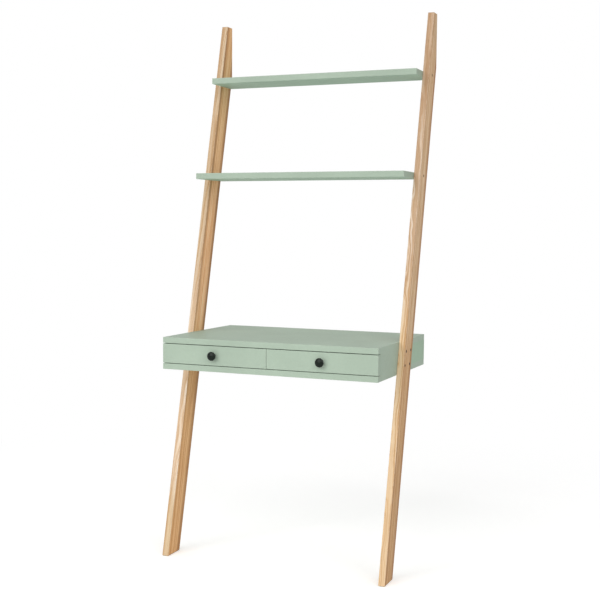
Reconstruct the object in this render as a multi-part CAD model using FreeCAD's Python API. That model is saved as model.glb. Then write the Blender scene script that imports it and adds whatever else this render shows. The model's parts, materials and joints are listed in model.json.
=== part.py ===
import FreeCAD, Part
import math
import os

# A ladder desk: two ash legs lean on the wall and carry a lacquered desk box with two
# drawers and, above it, two lacquered shelves.
#
# Millimetres. X runs along the desk to the sitter's right, Y back to the wall and Z up.
# The origin is on the floor, in the middle of the desk's width and of its whole depth.
# Depths are written as distances out from the wall; out() turns one into a Y value.
# Whatever comes in pairs is built for the right-hand side and mirrored for the left.

Vector = FreeCAD.Vector

# ---- Driving dimensions: the legs ----
total_height = 1840.0
inner_width = 750.0        # between the legs: the width of the desk box and the shelves
leg_thickness = 22.0
leg_width = 79.0           # seen from the side, square to the lean
lean_degrees = 13.6        # of the legs, away from upright
leg_top_depth = 38.0       # front to back along the flat top, which reaches the wall
leg_edge_radius = 1.5
pad_thickness = 1.5        # the anti-slip pad under each foot
pad_corner_radius = 3.0

# ---- Driving dimensions: the desk box ----
desk_height = 752.0
desk_depth = 500.0
wall_gap = 12.0            # behind the desk box
board = 19.0               # the top, the bottom, the sides and the divider
drawer_opening = 68.0      # clear height between the top and the bottom
back_board = 12.0
board_edge_radius = 1.0

# ---- Driving dimensions: the shelves ----
shelf_thickness = 20.0
shelf_edge_radius = 1.5
upper_shelf_drop = 200.0       # from the legs' tops down to the upper shelf
upper_shelf_overhang = 72.0    # ahead of the legs' front edges
middle_shelf_drop = 339.0      # from the upper shelf down to the middle one
middle_shelf_overhang = 110.0

# ---- Driving dimensions: the drawers ----
front_board = 19.0
front_gap_above = 2.5
front_gap_below = 2.0
front_gap_between = 1.2    # the two drawer fronts
front_gap_behind = 1.0     # to the front edges of the sides and the divider
front_edge_radius = 1.0
drawer_wall = 12.0
drawer_gap_above = 9.0
drawer_gap_below = 9.0
drawer_bottom_board = 5.0
groove_depth = 5.0
groove_rise = 8.0          # from the lower edge of the drawer's sides
groove_clearance = 0.2

# ---- Driving dimensions: the knobs ----
knob_radius = 14.8
knob_projection = 22.0
knob_dome = 6.6            # from the widest part of the rim out to the middle of the face
knob_rim_radius = 2.5
knob_base_radius = 8.0
knob_waist_radius = 6.4    # at the middle of the neck
knob_throat_radius = 9.0   # where the neck meets the head

# ---- Driving dimensions: the ball runners ----
runner_space = 10.0        # between the desk box and the drawer's side
runner_height = 27.0
runner_overlap = 128.5     # of the two rails, with the drawer pulled right out
runner_front_setback = 2.0
runner_rear_setback = 16.0
runner_sheet = 1.0
runner_bend_radius = 0.8
runner_clearance = 0.4
runner_stop_gap = 0.5
cage_sheet = 0.7
cage_web_clearance = 0.3
cage_ligament = 0.6
ball_radius = 1.5
ball_clearance = 0.125
ball_hole_clearance = 0.15
ball_pitch = 36.0
ball_end_margin = 8.0
rail_screw_setback = 35.0      # from either end of the desk box's rails
drawer_screw_setback = 60.0    # from either end of the drawer's rails

# ---- Driving dimensions: fasteners ----
bolt_radius = 3.0
bolt_engagement = 14.5     # past the leg, into what the leg carries
bolt_head_radius = 5.0
bolt_head_height = 6.0
bolt_head_sunk = 0.5       # below the leg's outer face
bolt_socket_flats = 5.0
bolt_socket_depth = 3.0
bolt_hole_clearance = 0.3
bolt_row_inset = 11.5      # from the upper and lower edges of the desk box's sides
bolt_edge_inset = 15.5     # from the leg's edges, square to the lean
insert_radius = 5.0
insert_length = 13.0
insert_wall = 1.9
dowel_radius = 4.0
dowel_in_board = 13.0
dowel_in_upright = 17.0
dowel_in_leg = 12.0
dowel_in_shelf = 18.0
dowel_edge_inset = 15.5    # from the leg's edges, square to the lean
dowel_front_inset = 30.0   # from the front edges of the sides and the divider
dowel_hole_extra = 1.0     # room for glue past the dowel's end
drawer_dowel_radius = 3.0
drawer_dowel_in_front = 10.0
drawer_dowel_in_side_end = 14.0
drawer_dowel_in_side_face = 8.0
drawer_dowel_in_back = 16.0
drawer_dowel_margin = 8.0
snug = 0.1                 # round a dowel, an insert or a screw
screw_radius = 1.75
screw_head_radius = 3.2
screw_core = 1.5           # left unpierced at the middle of the board
drawer_screw_core = 3.0    # left unpierced at the drawer side's inner face
bottom_screw_length = 18.0
knob_screw_radius = 2.0
knob_screw_in_knob = 9.0
knob_screw_head_radius = 4.0
knob_screw_head_height = 2.6
knob_bore_extra = 1.5

# ---- Driving dimensions: the keyhole plates on the wall side of the legs ----
plate_width = 16.0
plate_height = 60.0
plate_thickness = 2.0
plate_corner_radius = 4.0
plate_screw_inset = 7.0
plate_screw_length = 14.0
keyhole_entry_radius = 5.0
keyhole_slot_radius = 2.75
keyhole_drop = 15.0        # from the slot's end down to the entry
keyhole_pocket_margin = 1.0
keyhole_pocket_depth = 10.0

# ---- Derived sizes ----
lean = math.tan(math.radians(lean_degrees))
leg_run = leg_width / math.cos(math.radians(lean_degrees))  # the leg's width measured level
half_width = inner_width / 2
desk_front = wall_gap + desk_depth
desk_underside = desk_height - 2 * board - drawer_opening
opening_low = desk_underside + board
opening_high = desk_height - board
opening_middle = (opening_low + opening_high) / 2

upper_shelf_height = total_height - upper_shelf_drop
middle_shelf_height = upper_shelf_height - middle_shelf_drop

front_back = desk_front - front_board          # the drawer front's inner face
upright_front = front_back - front_gap_behind  # front edges of the sides and the divider
back_board_front = wall_gap + back_board
bay_outer = half_width - board
bay_inner = board / 2

rail_front = upright_front - runner_front_setback
rail_rear = back_board_front + runner_rear_setback
sliding_rear = rail_rear + runner_sheet + runner_stop_gap
drawer_travel = rail_front - sliding_rear - runner_overlap
race = runner_height / 2 - runner_sheet        # from the runner's middle to the ball track
ball_rise = race - ball_clearance - ball_radius
sliding_half = ball_rise - ball_radius - ball_clearance
cage_face = runner_sheet + cage_web_clearance
cage_back = cage_face + cage_sheet
sliding_lip = cage_back + runner_clearance
ball_offset = sliding_lip + runner_sheet + ball_clearance + ball_radius
cage_reach = ball_offset + ball_radius + ball_hole_clearance + cage_ligament
fixed_lip = cage_reach + runner_clearance
cage_length = runner_overlap - 2 * (runner_sheet + runner_stop_gap)
cage_front = rail_front - runner_sheet - runner_stop_gap - drawer_travel / 2

drawer_rear = sliding_rear
drawer_low = opening_low + drawer_gap_below
drawer_high = opening_high - drawer_gap_above
groove_low = drawer_low + groove_rise
groove_high = groove_low + drawer_bottom_board + groove_clearance
drawer_outer = bay_outer - runner_space
drawer_inner = bay_inner + runner_space
front_low = opening_low + front_gap_below
front_high = opening_high - front_gap_above
front_middle_x = (front_gap_between / 2 + half_width) / 2

bolt_seat = leg_thickness - bolt_head_height - bolt_head_sunk
foot_front = leg_top_depth + (total_height - pad_thickness) * lean
wall_cut_low = total_height - (leg_run - leg_top_depth) / lean
plate_middle = (wall_cut_low + total_height) / 2
plate_x = half_width + leg_thickness / 2

whole_depth = max(desk_front + knob_projection, foot_front)
wall_y = whole_depth / 2

TO_RIGHT = Vector(1, 0, 0)
TO_WALL = Vector(0, 1, 0)
UP = Vector(0, 0, 1)
TOUCH = 0.01               # points this close together count as one


# ---- Helpers ----
def out(distance):
    """The Y of a plane this far out from the wall."""
    return wall_y - distance


def leg_front(z):
    """How far out the leg's front edge is at a height."""
    return leg_top_depth + (total_height - z) * lean


def leg_back(z):
    """How far out the leg's back edge is at a height."""
    return max(leg_front(z) - leg_run, 0)


def leg_middle(z):
    """How far out the line along the middle of the leg is at a height."""
    return leg_front(z) - leg_run / 2


def level(across):
    """A distance square to the lean, measured level instead."""
    return across / math.cos(math.radians(lean_degrees))


def block(x, depth, z):
    """A block between two X values, two distances out from the wall and two heights."""
    low = Vector(min(x), out(max(depth)), min(z))
    high = Vector(max(x), out(min(depth)), max(z))
    size = high - low
    return Part.makeBox(size.x, size.y, size.z, low)


def mirrored(shape):
    """The same piece on the other side of the desk."""
    return shape.mirror(Vector(0, 0, 0), TO_RIGHT)


def edges_where(shape, test):
    """The shape's straight edges whose two ends both pass a test."""
    return [edge for edge in shape.Edges if all(test(corner.Point) for corner in edge.Vertexes)]


def upright_edges(shape):
    """The shape's edges that run straight up."""
    return [edge for edge in shape.Edges
            if edge.BoundBox.ZLength > 1 and edge.BoundBox.XLength + edge.BoundBox.YLength < TOUCH]


def aimed(shape, start, direction):
    """Turns a piece that was built along Z to point another way, from a start point."""
    moved = shape.copy()
    moved.Placement = FreeCAD.Placement(start, FreeCAD.Rotation(UP, direction))
    return moved


def turned(profile):
    """Spins a closed profile of (radius, height) points about the Z axis."""
    corners = [Vector(radius, 0, height) for radius, height in profile]
    face = Part.Face(Part.makePolygon(corners + corners[:1]))
    return face.revolve(Vector(0, 0, 0), UP, 360)


def save(node, *solids):
    """Writes one sub-part. Loose solids that share a node stay separate solids."""
    shape = solids[0] if len(solids) == 1 else Part.makeCompound(solids)
    shape.exportStep(f"parts/{node}.step")


def save_pair(node, *solids):
    """Writes a sub-part of the right-hand side and its mirror image on the left."""
    save(f"right_{node}", *solids)
    save(f"left_{node}", *[mirrored(solid) for solid in solids])


# ---- Fasteners, each built along Z and aimed ----
def socket_bolt(seat, direction):
    """A cap-head bolt. Its seat is where the head bears; it points along the direction."""
    head = Part.makeCylinder(bolt_head_radius, bolt_head_height, Vector(0, 0, -bolt_head_height))
    shank = Part.makeCylinder(bolt_radius, bolt_seat + bolt_engagement)
    corner = bolt_socket_flats / 2 / math.cos(math.pi / 6)
    corners = [Vector(corner * math.cos(turn), corner * math.sin(turn), -bolt_head_height)
               for turn in (math.radians(60 * step) for step in range(7))]
    socket = Part.Face(Part.makePolygon(corners)).extrude(UP * bolt_socket_depth)
    return aimed(head.fuse(shank).removeSplitter().cut(socket), seat, direction)


def insert_nut(mouth, direction):
    """The threaded sleeve that a bolt screws into, let into the wood from its mouth."""
    sleeve = Part.makeCylinder(insert_radius, insert_length)
    bore = Part.makeCylinder(insert_radius - insert_wall, insert_length)
    return aimed(sleeve.cut(bore), mouth, direction)


def insert_hole(mouth, direction):
    """What the insert nut and the end of its bolt need in the wood."""
    sleeve = Part.makeCylinder(insert_radius + snug, insert_length)
    tip = Part.makeCylinder(bolt_radius + bolt_hole_clearance, bolt_engagement + dowel_hole_extra)
    return aimed(sleeve.fuse(tip), mouth, direction)


def bolt_hole(joint, direction):
    """The leg's hole for a bolt, from the joint face outward, widened for the head."""
    shank = Part.makeCylinder(bolt_radius + bolt_hole_clearance, leg_thickness)
    head = Part.makeCylinder(bolt_head_radius + bolt_hole_clearance, leg_thickness, UP * bolt_seat)
    return aimed(shank.fuse(head), joint, direction)


def dowel(joint, direction, behind, ahead, radius=dowel_radius):
    """A dowel across a joint, so far behind it and so far ahead of it."""
    return aimed(Part.makeCylinder(radius, behind + ahead, UP * -behind), joint, direction)


def dowel_hole(joint, direction, depth, radius=dowel_radius):
    """The hole for one end of a dowel, from the joint into the wood."""
    return aimed(Part.makeCylinder(radius + snug, depth + dowel_hole_extra), joint, direction)


def flat_screw(surface, direction, length, extra=0.0):
    """A countersunk screw, flush with a surface; extra makes it wider all round for a hole."""
    neck = screw_head_radius - screw_radius
    profile = [(0, 0), (screw_head_radius + extra, 0), (screw_radius + extra, neck),
               (screw_radius + extra, length + extra - screw_radius), (0, length + extra)]
    return aimed(turned(profile), surface, direction)


# ---- The joints that the fasteners make ----
def desk_bolt_points():
    """Where the four bolts of one leg meet the desk box's side."""
    offset = level(leg_width / 2 - bolt_edge_inset)
    return [Vector(half_width, out(leg_middle(z) + step * offset), z)
            for z in (opening_low + bolt_row_inset, opening_high - bolt_row_inset)
            for step in (-1, 1)]


def shelf_middles():
    """The heights halfway through the two shelves."""
    return [top - shelf_thickness / 2 for top in (middle_shelf_height, upper_shelf_height)]


def shelf_bolt_points():
    """Where the one bolt of each shelf meets the leg, in the middle of the leg's width."""
    return [Vector(half_width, out(leg_middle(z)), z) for z in shelf_middles()]


def shelf_dowel_points():
    """Where the two dowels of each shelf meet the leg, ahead of and behind the bolt."""
    offset = level(leg_width / 2 - dowel_edge_inset)
    return [Vector(half_width, out(leg_middle(z) + step * offset), z)
            for z in shelf_middles() for step in (-1, 1)]


def upright_dowel_depths():
    """How far out the dowels stand that join the desk box's uprights to its boards."""
    ahead = (upright_front + leg_front(opening_middle)) / 2
    behind = (leg_back(opening_middle) + back_board_front) / 2
    return [upright_front - dowel_front_inset, ahead, behind]


def upright_dowel_points(x, z):
    """Those dowels' joints on one upright, at one of its two ends."""
    return [Vector(x, out(depth), z) for depth in upright_dowel_depths()]


def back_dowel_points(z):
    """The two joints of the back board's dowels, at its upper or lower edge."""
    return [Vector(step * inner_width / 4, out(wall_gap + back_board / 2), z) for step in (-1, 1)]


def case_dowel_points(z):
    """Every dowel joint on the underside of the top or on the bottom board."""
    side_x = half_width - board / 2
    return [point for x in (-side_x, 0, side_x) for point in upright_dowel_points(x, z)] \
        + back_dowel_points(z)


# ---- The legs and what is fixed to them ----
def leg_blank():
    """One leg: leaning, cut level at the foot and the top and upright where it meets the wall."""
    outline = [(foot_front, pad_thickness), (foot_front - leg_run, pad_thickness),
               (0, wall_cut_low), (0, total_height), (leg_top_depth, total_height)]
    corners = [Vector(half_width, out(depth), z) for depth, z in outline]
    face = Part.Face(Part.makePolygon(corners + corners[:1]))
    blank = face.extrude(TO_RIGHT * leg_thickness)
    return blank.makeFillet(leg_edge_radius, blank.Edges)


def rounded_plate(width, height, depth, radius, middle_z):
    """An upright plate with rounded corners, from the wall plane into the leg."""
    half = width / 2
    plate = block((plate_x - half, plate_x + half), (0, depth),
                  (middle_z - height / 2, middle_z + height / 2))
    corners = [edge for edge in plate.Edges if edge.BoundBox.YLength > depth / 2]
    return plate.makeFillet(radius, corners)


def plate_screw_points():
    """Where the two screws of a keyhole plate enter it, on the wall plane."""
    reach = plate_height / 2 - plate_screw_inset
    return [Vector(plate_x, wall_y, plate_middle + step * reach) for step in (-1, 1)]


def keyhole():
    """The hole in the plate that goes over the wall screw's head and drops onto its shank."""
    low = plate_middle - keyhole_drop / 2
    high = plate_middle + keyhole_drop / 2
    entry = aimed(Part.makeCylinder(keyhole_entry_radius, plate_thickness),
                  Vector(plate_x, wall_y, low), -TO_WALL)
    end = aimed(Part.makeCylinder(keyhole_slot_radius, plate_thickness),
                Vector(plate_x, wall_y, high), -TO_WALL)
    slot = block((plate_x - keyhole_slot_radius, plate_x + keyhole_slot_radius),
                 (0, plate_thickness), (low, high))
    return entry.fuse([end, slot])


def keyhole_pocket():
    """Room in the leg behind the keyhole for the wall screw's head."""
    radius = keyhole_entry_radius + keyhole_pocket_margin
    return rounded_plate(2 * radius, keyhole_drop + 2 * radius, keyhole_pocket_depth,
                         radius * 0.98, plate_middle)


def wall_plate():
    """The steel keyhole plate, let into the leg flush with its wall face."""
    plate = rounded_plate(plate_width, plate_height, plate_thickness, plate_corner_radius,
                          plate_middle)
    holes = [flat_screw(point, -TO_WALL, plate_screw_length, snug) for point in plate_screw_points()]
    return plate.cut(keyhole()).cut(holes)


def leg():
    """The right leg with its bolt holes, dowel holes and the recess for the keyhole plate."""
    joints = desk_bolt_points() + shelf_bolt_points()
    cuts = [bolt_hole(point, TO_RIGHT) for point in joints]
    cuts += [dowel_hole(point, TO_RIGHT, dowel_in_leg) for point in shelf_dowel_points()]
    cuts += [flat_screw(point, -TO_WALL, plate_screw_length, snug) for point in plate_screw_points()]
    recess = rounded_plate(plate_width + 2 * snug, plate_height + 2 * snug, plate_thickness,
                           plate_corner_radius + snug, plate_middle)
    return leg_blank().cut(cuts + [recess, keyhole_pocket()])


def foot_pad():
    """The thin pad under a foot, set in by the leg's rounded edges."""
    inset = leg_edge_radius
    pad = block((half_width + inset, half_width + leg_thickness - inset),
                (foot_front - leg_run + inset, foot_front - inset), (0, pad_thickness))
    return pad.makeFillet(pad_corner_radius, upright_edges(pad))


def leg_bolts():
    """The bolts through the right leg: four into the desk box and one into each shelf."""
    return [socket_bolt(point + TO_RIGHT * bolt_seat, -TO_RIGHT)
            for point in desk_bolt_points() + shelf_bolt_points()]


def insert_nuts():
    """The nuts that those bolts screw into."""
    return [insert_nut(point, -TO_RIGHT) for point in desk_bolt_points() + shelf_bolt_points()]


def shelf_dowels():
    """The dowels that keep each shelf level, at its right-hand end."""
    return [dowel(point, TO_RIGHT, dowel_in_shelf, dowel_in_leg) for point in shelf_dowel_points()]


def shelf(top, overhang):
    """A shelf between the legs: its back is flush with theirs, its front stands ahead."""
    middle = top - shelf_thickness / 2
    underside = top - shelf_thickness
    slab = block((-half_width, half_width), (leg_back(underside), leg_front(middle) + overhang),
                 (underside, top))
    slab = slab.makeFillet(shelf_edge_radius, slab.Edges)
    bolts = [point for point in shelf_bolt_points() if abs(point.z - middle) < shelf_thickness]
    pegs = [point for point in shelf_dowel_points() if abs(point.z - middle) < shelf_thickness]
    cuts = [insert_hole(point, -TO_RIGHT) for point in bolts]
    cuts += [dowel_hole(point, -TO_RIGHT, dowel_in_shelf) for point in pegs]
    return slab.cut(cuts + [mirrored(cut) for cut in cuts])


# ---- The desk box ----
def case_board(low, outer_face, joint, inward):
    """The top or the bottom: outer edges rounded, dowel holes in its inner face."""
    slab = block((-half_width, half_width), (wall_gap, desk_front), (low, low + board))
    outer = edges_where(slab, lambda point: abs(point.z - outer_face) < TOUCH)
    slab = slab.makeFillet(board_edge_radius, outer + upright_edges(slab))
    holes = [dowel_hole(point, inward, dowel_in_board) for point in case_dowel_points(joint)]
    return slab.cut(holes)


def upright_dowel_holes(x):
    """The dowel holes in an upright's upper and lower edges."""
    high = [dowel_hole(point, -UP, dowel_in_upright) for point in upright_dowel_points(x, opening_high)]
    low = [dowel_hole(point, UP, dowel_in_upright) for point in upright_dowel_points(x, opening_low)]
    return high + low


def desk_side():
    """The desk box's right side, between the top and the bottom."""
    panel = block((bay_outer, half_width), (wall_gap, upright_front), (opening_low, opening_high))
    cuts = upright_dowel_holes(half_width - board / 2)
    cuts += [insert_hole(point, -TO_RIGHT) for point in desk_bolt_points()]
    cuts += case_rail_screws(bay_outer, -1, snug)
    return panel.cut(cuts)


def desk_divider():
    """The upright between the two drawers."""
    panel = block((-bay_inner, bay_inner), (back_board_front, upright_front),
                  (opening_low, opening_high))
    screws = case_rail_screws(bay_inner, 1, snug)
    return panel.cut(upright_dowel_holes(0) + screws + [mirrored(screw) for screw in screws])


def desk_back():
    """The board that closes the desk box behind the drawers."""
    panel = block((-bay_outer, bay_outer), (wall_gap, back_board_front), (opening_low, opening_high))
    high = [dowel_hole(point, -UP, dowel_in_upright) for point in back_dowel_points(opening_high)]
    low = [dowel_hole(point, UP, dowel_in_upright) for point in back_dowel_points(opening_low)]
    return panel.cut(high + low)


def case_dowels():
    """Every dowel between the desk box's uprights and its top and bottom."""
    high = [dowel(point, UP, dowel_in_upright, dowel_in_board)
            for point in case_dowel_points(opening_high)]
    low = [dowel(point, -UP, dowel_in_upright, dowel_in_board)
           for point in case_dowel_points(opening_low)]
    return high + low


# ---- The ball runners ----
# A runner's section is drawn as (reach, rise): reach is measured from the desk box's wall
# towards the drawer, rise from the runner's middle height. wall_x is that wall and towards
# is +1 or -1, the X direction from it to the drawer.
def runner_bar(section, wall_x, towards, depth):
    """A bar of constant section along a runner, between two distances from the wall."""
    start = out(max(depth))
    corners = [Vector(wall_x + towards * reach, start, opening_middle + rise)
               for reach, rise in section]
    face = Part.Face(Part.makePolygon(corners + corners[:1]))
    return face.extrude(TO_WALL * (max(depth) - min(depth)))


def runner_block(reach, rise, wall_x, towards, depth):
    """A plain block on a runner, between two reaches, two rises and two distances."""
    return block([wall_x + towards * value for value in reach], depth,
                 [opening_middle + value for value in rise])


def both_ways(section):
    """Completes the upper half of a section with its mirror image below the middle."""
    return section + [(reach, -rise) for reach, rise in reversed(section)]


def bent(bar, reach, rise, wall_x, towards):
    """Rounds the outer edges of a bar's two bends, at one reach above and below the middle."""
    def at_bend(point):
        same_reach = abs(point.x - wall_x - towards * reach) < TOUCH
        return same_reach and abs(abs(point.z - opening_middle) - rise) < TOUCH
    return bar.makeFillet(runner_bend_radius, edges_where(bar, at_bend))


def case_rail(wall_x, towards):
    """The channel that is screwed to the desk box, with a stop at each end."""
    half = runner_height / 2
    lip_back = fixed_lip + runner_sheet
    lip_end = sliding_half + runner_clearance
    section = both_ways([(runner_sheet, race), (fixed_lip, race), (fixed_lip, lip_end),
                         (lip_back, lip_end), (lip_back, half), (0, half)])
    rail = runner_bar(section, wall_x, towards, (rail_rear, rail_front))
    rail = bent(rail, 0, half, wall_x, towards)
    drawer_stop = runner_block((0, lip_back), (-sliding_half, sliding_half), wall_x, towards,
                               (rail_rear, rail_rear + runner_sheet))
    cage_stop = runner_block((0, cage_back), (-sliding_half / 2, sliding_half / 2), wall_x, towards,
                             (rail_front - runner_sheet, rail_front))
    rail = rail.fuse([drawer_stop, cage_stop]).removeSplitter()
    return rail.cut(case_rail_screws(wall_x, towards, snug))


def drawer_rail(wall_x, towards):
    """The narrower channel on the drawer's side, which runs on the balls inside the other."""
    lip_back = sliding_lip + runner_sheet
    lip_end = ball_rise - cage_sheet / 2 - runner_clearance
    inside = sliding_half - runner_sheet
    web = runner_space - runner_sheet
    section = both_ways([(web, inside), (sliding_lip, inside), (sliding_lip, lip_end),
                         (lip_back, lip_end), (lip_back, sliding_half), (runner_space, sliding_half)])
    rail = runner_bar(section, wall_x, towards, (sliding_rear, rail_front))
    pushers = [runner_block((cage_face, lip_back), (step * inside, step * lip_end), wall_x, towards,
                            (sliding_rear, sliding_rear + runner_sheet)) for step in (-1, 1)]
    rail = rail.fuse(pushers).removeSplitter()
    return rail.cut(drawer_rail_screws(wall_x, towards, snug))


def ball_depths():
    """How far out the balls of one row sit, evenly spaced along the middle of the cage."""
    spaces = int((cage_length - 2 * ball_end_margin) // ball_pitch)
    first = cage_front - cage_length / 2 - spaces * ball_pitch / 2
    return [first + step * ball_pitch for step in range(spaces + 1)]


def ball_points(wall_x, towards):
    """The centres of a runner's balls, in an upper and a lower row."""
    return [Vector(wall_x + towards * ball_offset, out(depth), opening_middle + step * ball_rise)
            for step in (-1, 1) for depth in ball_depths()]


def balls(wall_x, towards):
    """The balls between the two rails of a runner."""
    return [Part.makeSphere(ball_radius, point) for point in ball_points(wall_x, towards)]


def ball_cage(wall_x, towards):
    """The folded strip that spaces the balls and rolls along at half the drawer's speed."""
    high = ball_rise + cage_sheet / 2
    low = ball_rise - cage_sheet / 2
    section = both_ways([(cage_back, low), (cage_reach, low), (cage_reach, high), (cage_face, high)])
    cage = runner_bar(section, wall_x, towards, (cage_front - cage_length, cage_front))
    holes = [Part.makeCylinder(ball_radius + ball_hole_clearance, 4 * cage_sheet,
                               point - UP * 2 * cage_sheet) for point in ball_points(wall_x, towards)]
    return cage.cut(holes)


def rail_screws(surface_x, towards, depths, length, extra):
    """Screws whose heads are flush with a rail's web, at distances from the wall."""
    return [flat_screw(Vector(surface_x, out(depth), opening_middle), TO_RIGHT * towards, length, extra)
            for depth in depths]


def case_rail_screws(wall_x, towards, extra=0.0):
    """The screws from a rail's web into the side or the divider of the desk box."""
    depths = (rail_front - rail_screw_setback, (rail_front + rail_rear) / 2,
              rail_rear + rail_screw_setback)
    length = runner_sheet + board / 2 - screw_core
    return rail_screws(wall_x + towards * runner_sheet, -towards, depths, length, extra)


def drawer_rail_screws(wall_x, towards, extra=0.0):
    """The screws from a sliding rail's web into the side of the drawer."""
    depths = (rail_front - drawer_screw_setback, sliding_rear + drawer_screw_setback)
    length = runner_sheet + drawer_wall - drawer_screw_core
    return rail_screws(wall_x + towards * (runner_space - runner_sheet), towards, depths, length, extra)


# ---- The right-hand drawer ----
def side_end_joints():
    """Where the dowels of the drawer's sides meet the drawer front."""
    middles = (drawer_outer - drawer_wall / 2, drawer_inner + drawer_wall / 2)
    return [Vector(x, out(front_back), z) for x in middles for z in drawer_dowel_heights()]


def drawer_dowel_heights():
    """The two heights of the drawer's dowels, clear of the groove and the upper edge."""
    return groove_high + drawer_dowel_margin, drawer_high - drawer_dowel_margin


def back_end_joints(x):
    """Where the dowels of the drawer's back meet the inner face of a side."""
    return [Vector(x, out(drawer_rear + drawer_wall / 2), z) for z in drawer_dowel_heights()]


def drawer_front():
    """The lacquered front, grooved for the bottom and drilled for the dowels and the knob."""
    slab = block((front_gap_between / 2, half_width), (front_back, desk_front), (front_low, front_high))
    face = edges_where(slab, lambda point: abs(point.y - out(desk_front)) < TOUCH)
    slab = slab.makeFillet(front_edge_radius, face)
    groove = block((drawer_inner + drawer_wall - groove_depth, drawer_outer - drawer_wall + groove_depth),
                   (front_back, front_back + groove_depth), (groove_low, groove_high))
    cuts = [dowel_hole(point, -TO_WALL, drawer_dowel_in_front, drawer_dowel_radius)
            for point in side_end_joints()]
    shank = Part.makeCylinder(knob_screw_radius + snug, front_board)
    cuts.append(aimed(shank, Vector(front_middle_x, out(front_back), opening_middle), -TO_WALL))
    return slab.cut(cuts + [groove])


def drawer_side(outer_x, inner_x, screws):
    """One side of the drawer, from its runner face to its inner face."""
    panel = block((outer_x, inner_x), (drawer_rear, front_back), (drawer_low, drawer_high))
    inward = TO_RIGHT if inner_x > outer_x else -TO_RIGHT
    groove = block((inner_x - inward.x * groove_depth, inner_x), (drawer_rear, front_back),
                   (groove_low, groove_high))
    ends = [point for point in side_end_joints() if min(outer_x, inner_x) < point.x < max(outer_x, inner_x)]
    cuts = [dowel_hole(point, TO_WALL, drawer_dowel_in_side_end, drawer_dowel_radius) for point in ends]
    cuts += [dowel_hole(point, -inward, drawer_dowel_in_side_face, drawer_dowel_radius)
             for point in back_end_joints(inner_x)]
    return panel.cut(cuts + screws + [groove])


def drawer_back():
    """The back of the drawer, which stands on the bottom between the two sides."""
    left = drawer_inner + drawer_wall
    right = drawer_outer - drawer_wall
    panel = block((left, right), (drawer_rear, drawer_rear + drawer_wall), (groove_high, drawer_high))
    cuts = [dowel_hole(point, TO_RIGHT, drawer_dowel_in_back, drawer_dowel_radius)
            for point in back_end_joints(left)]
    cuts += [dowel_hole(point, -TO_RIGHT, drawer_dowel_in_back, drawer_dowel_radius)
             for point in back_end_joints(right)]
    return panel.cut(cuts + bottom_screws(snug))


def drawer_bottom():
    """The thin bottom, in the grooves of the sides and the front and under the back."""
    reach = groove_depth - groove_clearance
    panel = block((drawer_inner + drawer_wall - reach, drawer_outer - drawer_wall + reach),
                  (drawer_rear, front_back + reach), (groove_high - drawer_bottom_board, groove_high))
    return panel.cut(bottom_screws(snug))


def bottom_screws(extra=0.0):
    """The two screws up through the bottom into the back."""
    width = drawer_outer - drawer_inner
    return [flat_screw(Vector(drawer_inner + share * width, out(drawer_rear + drawer_wall / 2),
                              groove_high - drawer_bottom_board), UP, bottom_screw_length, extra)
            for share in (1 / 3, 2 / 3)]


def drawer_dowels():
    """The dowels that hold the drawer's two sides to its front and its back."""
    left = drawer_inner + drawer_wall
    right = drawer_outer - drawer_wall
    fronts = [dowel(point, TO_WALL, drawer_dowel_in_front, drawer_dowel_in_side_end, drawer_dowel_radius)
              for point in side_end_joints()]
    backs = [dowel(point, inward, drawer_dowel_in_side_face, drawer_dowel_in_back, drawer_dowel_radius)
             for x, inward in ((left, TO_RIGHT), (right, -TO_RIGHT)) for point in back_end_joints(x)]
    return fronts + backs


def arc(start, middle, end):
    """An arc through three (radius, height) points of a turned profile."""
    return Part.Arc(*[Vector(radius, 0, height) for radius, height in (start, middle, end)]).toShape()


def line(start, end):
    """A straight stretch of a turned profile, between two (radius, height) points."""
    return Part.makeLine(*[Vector(radius, 0, height) for radius, height in (start, end)])


def knob():
    """The round knob: a waisted neck under a head with a round rim and a domed face."""
    rim_middle = knob_radius - knob_rim_radius
    rim_rise = knob_projection - knob_dome
    head_back = rim_rise - knob_rim_radius
    dome_radius = ((rim_middle ** 2 + knob_dome ** 2 - knob_rim_radius ** 2)
                   / (2 * (knob_dome - knob_rim_radius)))
    dome_middle = knob_projection - dome_radius
    slope = math.atan2(rim_middle, rim_rise - dome_middle)
    meeting, halfway = [(dome_radius * math.sin(turn), dome_middle + dome_radius * math.cos(turn))
                        for turn in (slope, slope / 2)]
    foot = (knob_base_radius, 0)
    throat = (knob_throat_radius, head_back)
    face = (0, knob_projection)
    outline = [
        line((0, 0), foot),
        arc(foot, (knob_waist_radius, head_back / 2), throat),
        line(throat, (rim_middle, head_back)),
        arc((rim_middle, head_back), (knob_radius, rim_rise), meeting),
        arc(meeting, halfway, face),
        line(face, (0, 0)),
    ]
    body = Part.Face(Part.Wire(outline)).revolve(Vector(0, 0, 0), UP, 360)
    bore = Part.makeCylinder(knob_screw_radius + snug, knob_screw_in_knob + knob_bore_extra)
    return aimed(body.cut(bore), Vector(front_middle_x, out(desk_front), opening_middle), -TO_WALL)


def knob_screw():
    """The screw that holds the knob from inside the drawer."""
    head = Part.makeCylinder(knob_screw_head_radius, knob_screw_head_height, -UP * knob_screw_head_height)
    head = head.makeFillet(knob_screw_head_height / 2,
                           edges_where(head, lambda point: point.z < -knob_screw_head_height + TOUCH))
    shank = Part.makeCylinder(knob_screw_radius, front_board + knob_screw_in_knob)
    seat = Vector(front_middle_x, out(front_back), opening_middle)
    return aimed(head.fuse(shank).removeSplitter(), seat, -TO_WALL)


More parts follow.
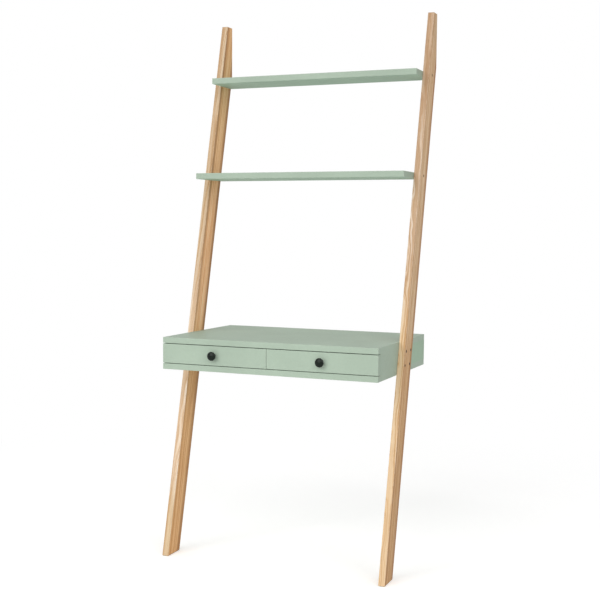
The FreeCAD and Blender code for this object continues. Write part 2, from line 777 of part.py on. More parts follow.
# ---- Everything, written out ----
def save_frame():
    save_pair("leg", leg())
    save_pair("foot_pad", foot_pad())
    save_pair("wall_plate", wall_plate())
    screws = [flat_screw(point, -TO_WALL, plate_screw_length) for point in plate_screw_points()]
    save("wall_plate_screws", *screws, *[mirrored(screw) for screw in screws])
    save("upper_shelf", shelf(upper_shelf_height, upper_shelf_overhang))
    save("middle_shelf", shelf(middle_shelf_height, middle_shelf_overhang))
    pegs = shelf_dowels()
    save("shelf_dowels", *pegs, *[mirrored(peg) for peg in pegs])
    save_pair("leg_bolts", *leg_bolts())
    save_pair("insert_nuts", *insert_nuts())


def save_desk_box():
    save("desk_top", case_board(opening_high, desk_height, opening_high, UP))
    save("desk_bottom", case_board(desk_underside, desk_underside, opening_low, -UP))
    save_pair("desk_side", desk_side())
    save("desk_divider", desk_divider())
    save("desk_back", desk_back())
    save("desk_dowels", *case_dowels())


def save_runner(place, wall_x, towards):
    save_pair(f"case_rail_{place}", case_rail(wall_x, towards))
    save_pair(f"drawer_rail_{place}", drawer_rail(wall_x, towards))
    save_pair(f"ball_cage_{place}", ball_cage(wall_x, towards))
    save_pair(f"balls_{place}", *balls(wall_x, towards))


def save_runners():
    save_runner("outer", bay_outer, -1)
    save_runner("inner", bay_inner, 1)
    screws = case_rail_screws(bay_outer, -1) + case_rail_screws(bay_inner, 1)
    save("case_rail_screws", *screws, *[mirrored(screw) for screw in screws])
    save_pair("drawer_rail_screws", *drawer_rail_screws(bay_outer, -1), *drawer_rail_screws(bay_inner, 1))


def save_drawers():
    save_pair("drawer_front", drawer_front())
    save_pair("drawer_side_outer", drawer_side(drawer_outer, drawer_outer - drawer_wall,
                                               drawer_rail_screws(bay_outer, -1, snug)))
    save_pair("drawer_side_inner", drawer_side(drawer_inner, drawer_inner + drawer_wall,
                                               drawer_rail_screws(bay_inner, 1, snug)))
    save_pair("drawer_back", drawer_back())
    save_pair("drawer_bottom", drawer_bottom())
    save_pair("drawer_bottom_screws", *bottom_screws())
    save_pair("drawer_dowels", *drawer_dowels())
    save_pair("knob", knob())
    save_pair("knob_screw", knob_screw())


os.makedirs("parts", exist_ok=True)
save_frame()
save_desk_box()
save_runners()
save_drawers()
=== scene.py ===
import json
import math

import bpy
from mathutils import Matrix, Vector

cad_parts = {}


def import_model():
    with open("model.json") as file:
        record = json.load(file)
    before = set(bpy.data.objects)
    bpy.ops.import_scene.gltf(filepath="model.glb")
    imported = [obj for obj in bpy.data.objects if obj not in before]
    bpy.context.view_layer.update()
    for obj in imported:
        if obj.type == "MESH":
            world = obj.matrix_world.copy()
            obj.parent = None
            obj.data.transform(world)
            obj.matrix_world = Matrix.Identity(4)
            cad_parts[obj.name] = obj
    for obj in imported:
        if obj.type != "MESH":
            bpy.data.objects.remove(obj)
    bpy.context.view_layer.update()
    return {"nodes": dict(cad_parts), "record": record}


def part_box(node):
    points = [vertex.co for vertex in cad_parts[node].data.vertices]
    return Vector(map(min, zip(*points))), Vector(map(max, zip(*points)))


# The looks of the ladder desk. Metres; the frame, the sizes and the shapes are the CAD model's.
# X runs along the desk to the sitter's right, Y back to the wall and Z up. No piece is added:
# every CAD node keeps its shape and gets a procedural finish.

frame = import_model()

LEAN = math.radians(13.6)      # of the legs, away from upright
LEG_WIDTH = 0.079              # seen from the side, square to the lean
LEG_THICKNESS = 0.022


# ---- Building a procedural material ----
class Look:
    """A material under construction. Its patterns are solid: they follow the piece's own metres."""

    def __init__(self, name):
        self.material = bpy.data.materials.new(name)
        self.material.use_nodes = True
        self.tree = self.material.node_tree
        self.tree.nodes.clear()
        self.place = self.add("ShaderNodeTexCoord").outputs["Object"]

    def add(self, kind, inputs=None, **settings):
        """A shader node. An input is a value or another node's output."""
        node = self.tree.nodes.new(kind)
        for name, value in settings.items():
            setattr(node, name, value)
        for name, value in (inputs or {}).items():
            if isinstance(value, bpy.types.NodeSocket):
                self.tree.links.new(value, node.inputs[name])
            else:
                node.inputs[name].default_value = value
        return node

    def calc(self, kind, *values):
        """One step of arithmetic on numbers."""
        return self.add("ShaderNodeMath", dict(enumerate(values)), operation=kind).outputs[0]

    def between(self, kind, *values):
        """One step of arithmetic on places."""
        return self.add("ShaderNodeVectorMath", dict(enumerate(values)), operation=kind).outputs[0]

    def length(self, place):
        """How far a place is from the origin."""
        step = self.add("ShaderNodeVectorMath", {0: place}, operation="LENGTH")
        return step.outputs["Value"]

    def axes(self, place):
        """A place's X, Y and Z."""
        return self.add("ShaderNodeSeparateXYZ", {0: place}).outputs

    def moved(self, place, turn=(0, 0, 0), shift=(0, 0, 0), stretch=(1, 1, 1)):
        """Places turned, then stretched and shifted."""
        turned = self.add("ShaderNodeMapping", {"Vector": place, "Rotation": turn}).outputs[0]
        return self.add("ShaderNodeMapping", {"Vector": turned, "Location": shift,
                                              "Scale": stretch}).outputs[0]

    def noise(self, place, scale, detail=2.0, rough=0.5):
        """Noise with so many waves to the metre."""
        return self.add("ShaderNodeTexNoise", {"Vector": place, "Scale": scale, "Detail": detail,
                                               "Roughness": rough}).outputs[0]

    def streaks(self, place, waves, detail=2.0, rough=0.5):
        """Noise drawn out into streaks, with so many waves to the metre along each axis."""
        return self.noise(self.moved(place, stretch=waves), 1.0, detail, rough)

    def drift(self, value, scale, detail, rough=0.5):
        """Noise that changes along one value only."""
        return self.add("ShaderNodeTexNoise", {"W": value, "Scale": scale, "Detail": detail,
                                               "Roughness": rough},
                        noise_dimensions="1D").outputs[0]

    def fade(self, value, low, high, start=0.0, end=1.0):
        """Start below low, end above high, and a smooth change between."""
        return self.add("ShaderNodeMapRange", {"Value": value, "From Min": low, "From Max": high,
                                               "To Min": start, "To Max": end},
                        interpolation_type="SMOOTHSTEP").outputs[0]

    def ramp(self, value, *stops):
        """Colours at places from 0 to 1."""
        node = self.add("ShaderNodeValToRGB", {"Fac": value})
        elements = node.color_ramp.elements
        while len(elements) < len(stops):
            elements.new(0.5)
        for element, (place, colour) in zip(elements, stops):
            element.position = place
            element.color = (*colour, 1)
        return node.outputs[0]

    def mix(self, share, first, second, kind="MIX"):
        """The first colour, with that share of the second."""
        node = self.add("ShaderNodeMix", data_type="RGBA", blend_type=kind)
        for socket, value in zip((node.inputs[0], node.inputs[6], node.inputs[7]),
                                 (share, first, second)):
            if isinstance(value, bpy.types.NodeSocket):
                self.tree.links.new(value, socket)
            else:
                socket.default_value = value if socket.type == "VALUE" else (*value, 1)
        return node.outputs[2]

    def bump(self, height, depth, below=None):
        """A relief of that depth in metres, on top of another one."""
        inputs = {"Height": height, "Distance": depth, "Strength": 1.0}
        if below:
            inputs["Normal"] = below
        return self.add("ShaderNodeBump", inputs).outputs[0]

    def from_edge(self, low, high):
        """How far a point on a box's surface is from the nearest edge of the box."""
        middle = tuple((a + b) / 2 for a, b in zip(low, high))
        half = tuple((b - a) / 2 for a, b in zip(low, high))
        apart = self.between("ABSOLUTE", self.between("SUBTRACT", self.place, middle))
        inside = self.axes(self.between("SUBTRACT", half, apart))
        least = self.calc("MINIMUM", inside[0], inside[1])
        most = self.calc("MAXIMUM", inside[0], inside[1])
        return self.calc("MAXIMUM", least, self.calc("MINIMUM", most, inside[2]))

    def done(self, colour, roughness, normal=None, **fixed):
        """Ends the material. The fixed values are the same all over it."""
        inputs = {"Base Color": colour, "Roughness": roughness}
        if normal:
            inputs["Normal"] = normal
        for name, value in fixed.items():
            inputs[name.replace("_", " ")] = value
        shader = self.add("ShaderNodeBsdfPrincipled", inputs)
        self.add("ShaderNodeOutputMaterial", {"Surface": shader.outputs[0]})
        return self.material


def shade(tone, share):
    """A tone made darker or lighter."""
    return tuple(value * share for value in tone)


# ---- The woods ----
# Each wood's tones: between the rings, next to them, at the rings and in the pores.
ASH = ((0.80, 0.600, 0.410), (0.74, 0.485, 0.275), (0.52, 0.28, 0.125), (0.27, 0.125, 0.05))
BIRCH = ((0.80, 0.66, 0.47), (0.74, 0.58, 0.38), (0.60, 0.43, 0.26), (0.45, 0.30, 0.17))
BEECH = ((0.74, 0.54, 0.36), (0.68, 0.46, 0.29), (0.55, 0.34, 0.20), (0.34, 0.19, 0.10))
RING_SWAY = 0.022              # how far the rings wander from round
UNEVEN_YEARS = 3.2             # how many rings wide and narrow years shift them by

# How many waves to the metre the patterns of wood have across, deep and along the grain.
SWAY = (6, 6, 1.1)
WAVER = (22, 22, 8)
PATCHES = (9, 9, 1.6)
STREAKS = (70, 70, 4.5)
FIBRES = (420, 420, 9)
PORES = (1300, 1300, 60)


def growth_rings(look, place, pith, rings, taper, flame):
    """Where a point lies in its growth ring, from 0 to 1, and how dark that year is."""
    x, y, z = look.axes(place)
    across = look.calc("SUBTRACT", x, pith[0])
    deep = look.calc("SUBTRACT", y, pith[1])
    reach = look.calc("SQRT", look.calc("ADD", look.calc("MULTIPLY", across, across),
                                        look.calc("MULTIPLY", deep, deep)))
    sway = look.calc("SUBTRACT", look.streaks(place, SWAY), 0.5)
    wave = look.calc("SUBTRACT", look.streaks(place, WAVER), 0.5)
    reach = look.calc("MULTIPLY_ADD", sway, RING_SWAY, reach)
    reach = look.calc("MULTIPLY_ADD", wave, flame, reach)
    reach = look.calc("MULTIPLY_ADD", z, taper, reach)
    count = look.calc("DIVIDE", reach, rings)
    uneven = look.drift(count, 0.35, detail=1.0)
    count = look.calc("MULTIPLY_ADD", uneven, UNEVEN_YEARS, count)
    return look.calc("FRACT", count), look.drift(count, 0.33, detail=2.0, rough=0.65)


def wood(name, turn, shift, pith, rings, tones, pores=1.0, taper=0.0, matt=0.5, figure=0.25,
         flame=0.0035, paint=None):
    """Growth rings round a pith that runs along the turned Z axis, with pores and fibres.

    rings is how wide a ring is, taper how fast the rings close in on the pith along the wood, flame
    how far they waver, figure how dark the darkest years are and pores how dark the pores. paint
    changes the tones once more.
    """
    look = Look(name)
    place = look.moved(look.place, turn, shift)
    ring, year = growth_rings(look, place, pith, rings, taper, flame)
    fibre = look.streaks(place, FIBRES, detail=3.0, rough=0.6)
    broad = look.streaks(place, STREAKS, rough=0.55)
    patch = look.streaks(place, PATCHES)
    pore = look.fade(look.streaks(place, PORES, detail=1.0), 0.56, 0.68)
    early = look.fade(ring, 0.0, 0.30, 1.0, 0.0)
    pore = look.calc("MULTIPLY", pore, look.calc("MULTIPLY_ADD", early, 0.85, 0.15))
    pore = look.calc("MULTIPLY", pore, pores)

    pale, honey, dark, pore_tone = tones
    body = look.ramp(ring, (0.0, dark), (0.16, honey), (0.5, pale), (0.86, pale), (1.0, honey))
    body = look.mix(look.fade(patch, 0.3, 0.72), body, look.mix(0.55, body, honey))
    body = look.mix(look.fade(year, 0.46, 0.62, 0.0, figure), body, dark)
    body = look.mix(look.fade(broad, 0.45, 0.70, 0.0, 0.55), body, dark)
    body = look.mix(look.fade(fibre, 0.35, 0.75, 0.0, 0.34), body, dark)
    body = look.mix(look.calc("MULTIPLY", pore, 0.6), body, pore_tone)
    if paint:
        body = paint(look, body, place, broad)

    relief = look.bump(look.calc("MULTIPLY_ADD", pore, -1.0, fibre), 0.00012)
    relief = look.bump(look.fade(ring, 0.0, 0.4), 0.00005, relief)
    rough = look.fade(fibre, 0.2, 0.8, matt - 0.06, matt + 0.1)
    rough = look.calc("MULTIPLY_ADD", pore, 0.18, rough)
    return look.done(body, rough, relief, Specular_IOR_Level=0.16)


def birch(name, turn, shift):
    """Clear lacquered birch, for the drawers' boxes."""
    return wood(name, turn, shift, (0.05, 0.09), 0.0026, BIRCH, pores=0.25, taper=0.02, matt=0.38)


# ---- The legs' ash ----
# A leg's tints multiply the tones of ASH, one to a stretch: the foot, under the desk box, above it,
# by the shelves and the top end. They are partly the wood's own changes along it and partly painted
# light and shade: faces lighter or darker by how the light falls on them, and darker towards the
# top.
# The steps are the distances up the grain between which one stretch gives way to the next.
DUSKY = (0.74, 0.75, 0.80)
SHADED = (0.83, 0.86, 0.87)
DULL = (0.95, 0.98, 0.94)
EVEN = (1.06, 1.10, 1.08)
CREAM = (0.97, 1.11, 1.36)
PALE = (1.19, 1.39, 1.70)
WARM = (0.97, 0.89, 0.72)
HONEY = (1.24, 1.18, 0.95)
GOLDEN = (1.22, 1.04, 0.78)
BRIGHT = (1.55, 1.40, 1.27)
FRONT_STEPS = ((0.10, 0.28), (0.70, 1.05), (1.2, 1.6), (1.73, 1.81))
SIDE_STEPS = ((0.10, 0.28), (0.62, 0.80), (1.2, 1.6), (1.70, 1.79))
HEART_STEP = (0.63, 0.87)      # where the heartwood changes, behind the desk box
LEFT_FACE = (1.04, 1.02, 0.92)     # the one tint of the sides that face left, partly painted light: the sides are tinted by the way they face
# the heartwood's colour, also used as painted shade along the legs' back edges
HEARTWOOD_AND_BACK_SHADE = (0.40, 0.185, 0.07)
RUBBED_ASH = (0.86, 0.72, 0.54)

# Where, in from the front face, the back, the sides or an edge, one thing gives way to another.
FRONT_TO_SIDE = (0.0008, 0.0024)       # from the front: its tint to the sides' tints
SAP_TO_HEART = (0.0006, 0.0030)        # from the front: sapwood to the band of heartwood
HEART_TO_SAP = (0.012, 0.023)          # from the front: that band to sapwood
BACK_SHADE_RIM = (0.009, 0.028)              # from the back: the painted shade along the back edge to plain wood
BACK_SHADE_SKIN = (0.001, 0.004)              # from the sides: that painted shade to a fainter one inside
LEFT_TO_RIGHT = (-0.009, 0.009)        # from the middle: the left side's tint to the right's
WORN_EDGE = (0.0004, 0.0018)           # from an edge: rubbed wood to sound wood

# The band of heartwood ends raggedly, and it comes and goes: how far, and in what waves.
RAGGED_DEPTH = 0.010
RAGGED = (30, 30, 4)
COME_AND_GO = (3, 3, 2.3)


def stretches(look, up, steps, tints):
    """The tint at a distance up a leg."""
    tint = tints[0]
    for (low, high), above in zip(steps, tints[1:]):
        tint = look.mix(look.fade(up, low, high), tint, above)
    return tint


def leg_tones(look, body, place, broad, leg):
    """A leg's stretches (partly painted light and shade), heartwood behind the front edge, painted
    shade along the back, and rubbed edges.
    """
    x, y, up = look.axes(place)
    from_middle = look.calc("SUBTRACT", x, leg["middle"])
    from_front = look.calc("SUBTRACT", y, leg["front"])
    from_back = look.calc("SUBTRACT", leg["front"] + LEG_WIDTH, y)
    from_side = look.calc("SUBTRACT", LEG_THICKNESS / 2, look.calc("ABSOLUTE", from_middle))

    front = stretches(look, up, FRONT_STEPS, leg["front_tints"])
    right = stretches(look, up, SIDE_STEPS, leg["side_tints"])
    # Painted light and shade: the sides are tinted by the way they face, and the front apart from
    # them.
    sides = look.mix(look.fade(from_middle, *LEFT_TO_RIGHT), LEFT_FACE, right)
    tint = look.mix(look.fade(from_front, *FRONT_TO_SIDE), front, sides)
    body = look.mix(1.0, body, tint, "MULTIPLY")

    wander = look.streaks(place, RAGGED, detail=3.0)
    ragged = look.calc("MULTIPLY_ADD", wander, RAGGED_DEPTH, from_front)
    band = look.calc("MULTIPLY", look.fade(from_front, *SAP_TO_HEART),
                     look.fade(ragged, *HEART_TO_SAP, 1.0, 0.0))
    grown = look.streaks(place, COME_AND_GO, detail=1.0)
    band = look.calc("MULTIPLY", band, look.fade(grown, 0.36, 0.6, 0.6, 1.0))
    band = look.calc("MULTIPLY", band, look.fade(up, *HEART_STEP, *leg["heart"]))
    # Painted shade: the back edge darkened in the heartwood's colour, where less light reaches it.
    back_shade = look.calc("MULTIPLY", look.fade(from_back, *BACK_SHADE_RIM, 0.95, 0.0),
                    look.fade(broad, 0.3, 0.6, 0.7, 1.0))
    back_shade = look.calc("MULTIPLY", back_shade, look.fade(from_side, *BACK_SHADE_SKIN, 1.0, 0.3))
    body = look.mix(look.calc("MAXIMUM", band, back_shade), body, HEARTWOOD_AND_BACK_SHADE)

    arris = look.calc("MAXIMUM", from_side, look.calc("MINIMUM", from_front, from_back))
    rub = look.noise(place, 55.0, detail=4.0, rough=0.65)
    worn = look.calc("MULTIPLY", look.fade(arris, *WORN_EDGE, 0.5, 0.0), look.fade(rub, 0.42, 0.62))
    return look.mix(worn, body, RUBBED_ASH)


def ash(side, pith, flame, figure, heart, front_tints, side_tints):
    """The wood of one leg.

    pith is how far the pith lies to the right of the leg's middle and ahead of its front face.
    heart is how dark the band of heartwood is under the desk box and above it.
    """
    low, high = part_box(side + "_leg")
    middle = (low.x + high.x) / 2
    front = low.y * math.cos(LEAN) - low.z * math.sin(LEAN)
    leg = {"middle": middle, "front": front, "heart": heart, "front_tints": front_tints,
           "side_tints": side_tints}
    return wood(f"ash_{side}", (LEAN, 0, 0), (0, 0, 0), (middle + pith[0], front - pith[1]), 0.0038,
                ASH, taper=0.016, figure=figure, flame=flame,
                paint=lambda *parts: leg_tones(*parts, leg))


def legs():
    """The two legs' materials by side."""
    return {
        "left": ash("left", (0.016, 0.034), flame=0.006, figure=0.75, heart=(0.1, 0.75),
                    front_tints=(DULL, PALE, SHADED, SHADED, SHADED),
                    side_tints=(GOLDEN, GOLDEN, BRIGHT, HONEY, GOLDEN)),
        "right": ash("right", (-0.012, 0.026), flame=0.019, figure=1.0, heart=(0.5, 0.15),
                     front_tints=(EVEN, EVEN, CREAM, DUSKY, DUSKY),
                     side_tints=(WARM, WARM, EVEN, EVEN, DULL)),
    }


# ---- The lacquer ----
SAGE = (0.417, 0.514, 0.415)
SHELF_HEIGHT_SHADE = {"upper_shelf": 0.925, "middle_shelf": 0.95}      # painted shade: the shelves, of the same lacquer, darker the higher they stand
PAINTED_UNDERSIDE_LIGHT = (1.02, 1.16, 1.08)    # painted light: a shelf's underside a little lighter and greener, for the light bounced up onto it
PAINTED_LEG_SHADE = (0.91, 1.01, 0.93)    # painted shade: the rear half of the desk box's sides, behind the legs, a little darker
RUBBED_SAGE = (0.62, 0.69, 0.60)
SHELF_SKIN = (0.0002, 0.0010)      # above a shelf's underside, where its painted light ends
LEG_CROSSING = (-0.03, 0.03)       # in Y, where the painted shade behind the legs sets in
RUBBED_EDGE = (0.0002, 0.0022)     # from the nearest outer edge, where the rubbing ends
DESK_CASE = ("desk_top", "desk_bottom", "left_desk_side", "right_desk_side", "desk_back",
             "desk_divider")


def outer_box(node):
    """The box whose edges are rubbed: the whole desk box for its own boards, else the node's."""
    boxes = [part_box(name) for name in (DESK_CASE if node in DESK_CASE else (node,))]
    low = Vector([min(low[axis] for low, high in boxes) for axis in range(3)])
    high = Vector([max(high[axis] for low, high in boxes) for axis in range(3)])
    return low, high


def lacquer(node):
    """Sage green satin lacquer over smooth board, a little rubbed along the outer edges, with
    painted shade on the shelves and behind the legs, and painted light under the shelves.
    """
    look = Look("sage_" + node)
    low, high = outer_box(node)
    sage = shade(SAGE, SHELF_HEIGHT_SHADE.get(node, 1.0))
    cloud = look.noise(look.place, 5.5, detail=3.0, rough=0.55)
    mottle = look.noise(look.place, 140.0, detail=3.0, rough=0.6)
    body = look.mix(look.fade(cloud, 0.3, 0.7), shade(sage, 0.96), shade(sage, 1.035))
    body = look.mix(look.fade(mottle, 0.35, 0.7, 0.0, 0.18), body, shade(sage, 0.86))
    _, y, z = look.axes(look.place)
    # Painted light: the shelves' undersides lightened and greened.
    if node.endswith("_shelf"):
        under = look.fade(z, *(low.z + skin for skin in SHELF_SKIN), 1.0, 0.0)
        body = look.mix(under, body, PAINTED_UNDERSIDE_LIGHT, "MULTIPLY")
    # Painted shade: the desk box's sides darker behind the legs.
    if node.endswith("desk_side"):
        body = look.mix(look.fade(y, *LEG_CROSSING), body, PAINTED_LEG_SHADE, "MULTIPLY")
    rub = look.noise(look.place, 60.0, detail=4.0, rough=0.65)
    edge = look.fade(look.from_edge(low, high), *RUBBED_EDGE, 1.0, 0.0)
    worn = look.calc("MULTIPLY", edge, look.fade(rub, 0.38, 0.66, 0.15, 1.0))
    body = look.mix(look.calc("MULTIPLY", worn, 0.35), body, RUBBED_SAGE)
    orange_peel = look.bump(look.noise(look.place, 420.0), 0.00006)
    relief = look.bump(look.noise(look.place, 2600.0, detail=1.0), 0.000008, orange_peel)
    rough = look.calc("MULTIPLY_ADD", worn, -0.08, look.fade(mottle, 0.2, 0.8, 0.46, 0.58))
    return look.done(body, rough, relief, Specular_IOR_Level=0.13)


# ---- The metals ----
ZINC = (0.62, 0.63, 0.65)
YELLOW_ZINC = (0.56, 0.51, 0.38)
CAGE_STEEL = (0.55, 0.56, 0.58)
BALL_STEEL = (0.74, 0.74, 0.76)
OXIDE_TONES = ((0.010, 0.010, 0.010), (0.028, 0.026, 0.024))
BROWNED_TONES = ((0.26, 0.17, 0.10), (0.34, 0.23, 0.14))
BROWNED_ABOVE = (0.9, 1.0)         # the heights between which the bolts turn from black to brown


def steel(name, tone, waves, matt, spangle=0.0):
    """Plated or drawn steel, streaked along the way it was rolled; spangle is zinc's flakes."""
    look = Look(name)
    streak = look.streaks(look.place, waves, detail=4.0, rough=0.6)
    cloud = look.noise(look.place, 35.0, detail=3.0)
    body = look.mix(look.fade(streak, 0.3, 0.75, 0.0, 0.6), tone, shade(tone, 0.72))
    body = look.mix(look.fade(cloud, 0.35, 0.7, 0.0, 0.35), body, shade(tone, 0.85))
    if spangle:
        flakes = look.add("ShaderNodeTexVoronoi", {"Vector": look.place, "Scale": 380.0})
        body = look.mix(spangle, body, flakes.outputs["Color"], "SOFT_LIGHT")
    rough = look.fade(streak, 0.25, 0.8, matt, matt + 0.16)
    return look.done(body, rough, look.bump(streak, 0.00002), Metallic=1.0, Anisotropic=0.35)


def black_oxide():
    """The legs' bolts: black at the desk box, and browned at the shelves above it."""
    look = Look("black_steel")
    cloud = look.noise(look.place, 240.0, detail=3.0)
    tone = look.fade(cloud, 0.3, 0.75)
    black = look.mix(tone, *OXIDE_TONES)
    browned = look.mix(tone, *BROWNED_TONES)
    height = look.axes(look.place)[2]
    body = look.mix(look.fade(height, *BROWNED_ABOVE), black, browned)
    relief = look.bump(look.noise(look.place, 1800.0), 0.00003)
    return look.done(body, look.fade(cloud, 0.25, 0.75, 0.42, 0.60), relief, Specular_IOR_Level=0.2)


# ---- The knobs ----
KNOB_TONES = ((0.003, 0.007, 0.004), (0.007, 0.014, 0.009))
RUBBED_BLACK_AND_SHEEN = (0.09, 0.09, 0.088)
TURNING_PITCH = 0.0011             # of the faint rings that turning leaves
KNOB_RIM = (0.0122, 0.0142)        # from the knob's axis, where its rim starts to be rubbed and to carry a painted sheen


def knob_black(side):
    """Satin black, turned: faint rings round the knob's axis and a rim lightened partly by rubbing,
    partly as a painted sheen.
    """
    look = Look(f"black_knob_{side}")
    low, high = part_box(side + "_knob")
    centre = ((low.x + high.x) / 2, 0, (low.z + high.z) / 2)
    across = look.between("MULTIPLY", look.between("SUBTRACT", look.place, centre), (1, 0, 1))
    radius = look.length(across)
    rings = look.calc("SINE", look.calc("MULTIPLY", radius, 2 * math.pi / TURNING_PITCH))
    cloud = look.noise(look.place, 160.0, detail=3.0)
    body = look.mix(look.fade(cloud, 0.3, 0.75), *KNOB_TONES)
    # The rim lightened: partly rubbing, partly a painted sheen.
    rub = look.calc("MULTIPLY", look.fade(radius, *KNOB_RIM), look.fade(cloud, 0.4, 0.65, 0.2, 1.0))
    body = look.mix(look.calc("MULTIPLY", rub, 0.25), body, RUBBED_BLACK_AND_SHEEN)
    turned = look.bump(rings, 0.000003)
    relief = look.bump(look.noise(look.place, 2200.0), 0.00002, turned)
    rough = look.fade(cloud, 0.25, 0.75, 0.20, 0.32)
    return look.done(body, rough, relief, Specular_IOR_Level=0.19)


# ---- The pads ----
RUBBER = (0.46, 0.43, 0.38)
SOILED = (0.34, 0.31, 0.27)


def rubber():
    """Pale matt rubber, a little soiled."""
    look = Look("pad_rubber")
    grain = look.noise(look.place, 900.0, detail=3.0)
    patches = look.noise(look.place, 70.0, detail=3.0)
    body = look.mix(look.fade(patches, 0.45, 0.8, 0.0, 0.6), RUBBER, SOILED)
    return look.done(body, look.fade(grain, 0.2, 0.8, 0.72, 0.9), look.bump(grain, 0.00012))


# ---- Every piece gets its finish ----
ALONG_Y = (math.radians(90), 0, 0)     # turns a wood's grain that way
ALONG_X = (0, math.radians(90), 0)


def finishes():
    """The finish of each slot: a ready material, or a call that makes one for a node."""
    leg = legs()
    sides = birch("birch_sides", ALONG_Y, (0.31, 0.2, 0.4))
    backs = birch("birch_backs", ALONG_X, (0.11, 0.6, 0.2))
    return {
        "ash": lambda node: leg[node.split("_")[0]],
        "sage_lacquer": lacquer,
        "birch": lambda node: backs if node.endswith("back") else sides,
        "birch_ply": wood("birch_ply", ALONG_X, (0.2, 0.13, 0.5), (0.16, 0.02), 0.0031, BIRCH,
                          pores=0.2, taper=0.05, matt=0.42),
        "beech": wood("beech", ALONG_X, (0.1, 0.3, 0.2), (0.02, 0.03), 0.0022, BEECH, pores=0.8),
        "black_knob": lambda node: knob_black(node.split("_")[0]),
        "black_steel": black_oxide(),
        "zinc_steel": steel("zinc_steel", ZINC, (900, 14, 900), matt=0.24, spangle=0.10),
        "zinc_screws": steel("zinc_screws", YELLOW_ZINC, (700, 700, 700), matt=0.3, spangle=0.06),
        "cage_steel": steel("cage_steel", CAGE_STEEL, (800, 20, 800), matt=0.3),
        "ball_steel": steel("ball_steel", BALL_STEEL, (300, 300, 300), matt=0.08),
        "pad_rubber": rubber(),
    }


def dress():
    """Gives every CAD node the finish of its slot in the record."""
    looks = finishes()
    for part in frame["record"]["subparts"]:
        node = part["node"]
        look = looks[part["material_slot"]]
        mesh = frame["nodes"][node].data
        mesh.materials.clear()
        mesh.materials.append(look(node) if callable(look) else look)


# ---- The floor and the backdrop ----
WHITE = (1, 1, 1, 1)
FLOOR_HALF = 40.0              # from the middle of the floor to its edge
FLOOR_TONES = ((0.925, 0.925, 0.92), (0.945, 0.945, 0.94))
FLOOR_LIFT = 0.36              # brings the floor that is shown up to white where no shadow falls
FLOOR_ENDS = (1.0, 2.4)        # how far from the desk the floor gives way to the white backdrop
SKY = 0.49                     # the strength of the even light


def shown_rays(tree):
    """One for the rays that show the background: the camera's, a mirrored or a clear one."""
    path = tree.nodes.new("ShaderNodeLightPath").outputs
    share = path["Is Camera Ray"]
    for name in ("Is Glossy Ray", "Is Transmission Ray"):
        step = tree.nodes.new("ShaderNodeMath")
        step.operation = "MAXIMUM"
        tree.links.new(share, step.inputs[0])
        tree.links.new(path[name], step.inputs[1])
        share = step.outputs[0]
    return share


def paper():
    """The floor: pale and matt, shown white where no shadow falls on it."""
    look = Look("floor")
    grain = look.noise(look.place, 30.0, detail=3.0)
    tone = look.mix(look.fade(grain, 0.3, 0.7), *FLOOR_TONES)
    matt = look.add("ShaderNodeBsdfDiffuse", {"Color": tone}).outputs[0]
    glow = look.add("ShaderNodeEmission", {"Color": WHITE, "Strength": FLOOR_LIFT}).outputs[0]
    lifted = look.add("ShaderNodeAddShader", {0: matt, 1: glow}).outputs[0]
    white = look.add("ShaderNodeEmission", {"Color": WHITE, "Strength": 1.0}).outputs[0]
    far = look.fade(look.length(look.place), *FLOOR_ENDS)
    seen = look.add("ShaderNodeMixShader", {0: far, 1: lifted, 2: white}).outputs[0]
    both = look.add("ShaderNodeMixShader", {0: shown_rays(look.tree), 1: matt, 2: seen}).outputs[0]
    look.add("ShaderNodeOutputMaterial", {"Surface": both})
    return look.material


def floor():
    """A level square under the feet."""
    half = FLOOR_HALF
    mesh = bpy.data.meshes.new("floor")
    mesh.from_pydata([(-half, -half, 0), (half, -half, 0), (half, half, 0), (-half, half, 0)], [],
                     [(0, 1, 2, 3)])
    mesh.materials.append(paper())
    plane = bpy.data.objects.new("floor", mesh)
    bpy.context.scene.collection.objects.link(plane)


def world():
    """Even light from all round, and a white backdrop."""
    sky = bpy.data.worlds.new("studio")
    sky.use_nodes = True
    tree = sky.node_tree
    tree.nodes.clear()
    both = tree.nodes.new("ShaderNodeMixShader")
    tree.links.new(shown_rays(tree), both.inputs[0])
    for socket, strength in ((both.inputs[1], SKY), (both.inputs[2], 1.0)):
        light = tree.nodes.new("ShaderNodeBackground")
        light.inputs["Color"].default_value = WHITE
        light.inputs["Strength"].default_value = strength
        tree.links.new(light.outputs[0], socket)
    end = tree.nodes.new("ShaderNodeOutputWorld")
    tree.links.new(both.outputs[0], end.inputs["Surface"])
    bpy.context.scene.world = sky


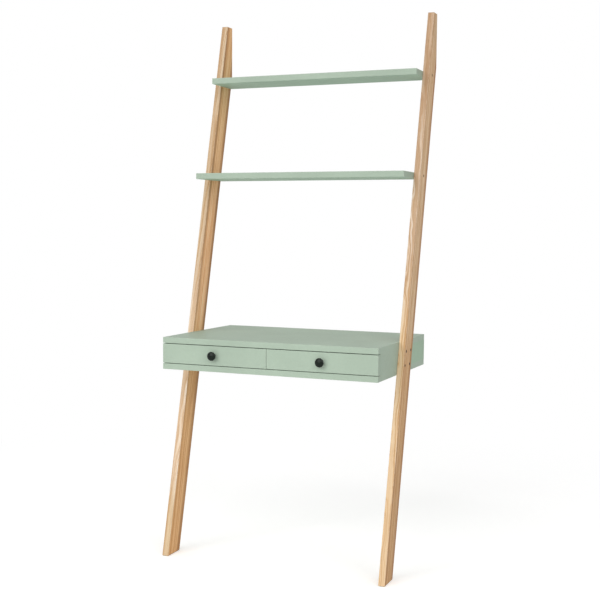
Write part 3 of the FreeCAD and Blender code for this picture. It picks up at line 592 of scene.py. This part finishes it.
# ---- The lamps ----
AIM = Vector((0, 0, 0.9))      # the middle of the desk, which the lamps face


def softbox(name, place, watts, size):
    """A large square lamp."""
    lamp = bpy.data.lights.new(name, "AREA")
    lamp.energy = watts
    lamp.size = size
    box = bpy.data.objects.new(name, lamp)
    bpy.context.scene.collection.objects.link(box)
    box.location = place
    box.rotation_euler = (AIM - Vector(place)).to_track_quat("-Z", "Y").to_euler()


# ---- The camera ----
CAMERA_PLACE = Vector((1.40222, -3.33836, 1.11517))
CAMERA_TURN = math.radians(22.5808)    # to the left of straight at the wall
CAMERA_TILT = math.radians(5.0038)     # down
CAMERA_ROLL = math.radians(0.483)      # counter-clockwise
PHOTO_WIDTH = 600                      # pixels, and so is its height
FOCAL_LENGTH = 1074.729                # pixels
FRAME_RISE = 22.07                     # pixels by which the photo's middle lies above the lens's
SENSOR_WIDTH = 36.0                    # mm


def camera():
    """The camera where the photo's stood."""
    turn, tilt, roll = CAMERA_TURN, CAMERA_TILT, CAMERA_ROLL
    ahead = Vector((-math.sin(turn) * math.cos(tilt), math.cos(turn) * math.cos(tilt),
                    -math.sin(tilt)))
    level = Vector((math.cos(turn), math.sin(turn), 0))
    upward = level.cross(ahead)
    right = level * math.cos(roll) + upward * math.sin(roll)
    top = upward * math.cos(roll) - level * math.sin(roll)
    lens = bpy.data.cameras.new("camera")
    lens.sensor_width = SENSOR_WIDTH
    lens.lens = FOCAL_LENGTH / PHOTO_WIDTH * SENSOR_WIDTH
    lens.shift_y = FRAME_RISE / PHOTO_WIDTH
    lens.clip_end = 200
    view = bpy.data.objects.new("camera", lens)
    bpy.context.scene.collection.objects.link(view)
    axes = Matrix((right, top, -ahead)).transposed().to_4x4()
    view.matrix_world = Matrix.Translation(CAMERA_PLACE) @ axes
    bpy.context.scene.camera = view


dress()
floor()
world()
softbox("key", place=(-3.0, -12.0, 7.3), watts=945, size=11.0)
softbox("fill", place=(8.8, -8.8, 7.3), watts=400, size=9.0)
camera()

bpy.context.scene.view_settings.view_transform = "Standard"
bpy.context.view_layer.update()
